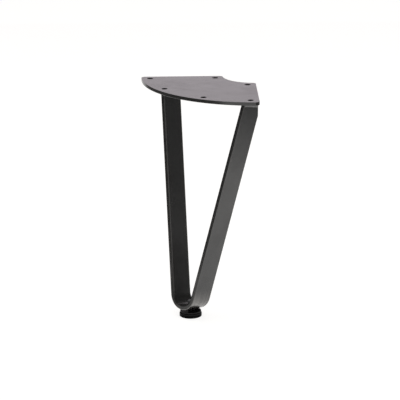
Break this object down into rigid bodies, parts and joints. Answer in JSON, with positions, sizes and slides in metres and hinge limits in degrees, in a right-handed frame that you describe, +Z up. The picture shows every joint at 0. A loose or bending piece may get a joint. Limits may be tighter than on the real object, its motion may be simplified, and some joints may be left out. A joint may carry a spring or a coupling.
{
  "type": "hairpin table leg",
  "caption": "Flat-bar hairpin table leg: a bar bent to a leaning V under a quarter-ring screw plate, with a black screw-in levelling foot.",
  "frame": {"origin": "on the floor, on the axis of the foot, with the foot screwed home", "axes": "+Z up to the mounting face, +X from one arm to the other, +Y in from the rounded edge towards the centre of the plate's arcs"},
  "size_m": [0.206, 0.1163, 0.3],
  "materials": {
    "coated_steel": "satin black powder coat",
    "coated_weld": "weld bead under the same satin black coat",
    "foot_plastic": "moulded black plastic",
    "stud_steel": "dark zinc-plated thread"
  },
  "bodies": {
    "leg": {"mounting_plate": "coated_steel", "flat_bar": "coated_steel", "weld_left": "coated_weld", "weld_right": "coated_weld"},
    "stud": {"foot_stud": "stud_steel"},
    "base": {"foot_base": "foot_plastic"}
  },
  "joints": [
    {"name": "foot_travel", "type": "slide", "parent": "leg", "child": "stud", "axis": [0, 0, -1], "range_m": [0, 0.00625]},
    {"name": "foot_turn", "type": "hinge", "parent": "stud", "child": "base", "pos_m": [0, 0, 0], "axis": [0, 0, -1], "range_deg": [0, 1800]}
  ],
  "couplings": [
    {"joint": "foot_turn", "follows": "foot_travel", "rad_per_m": 5026.5}
  ]
}
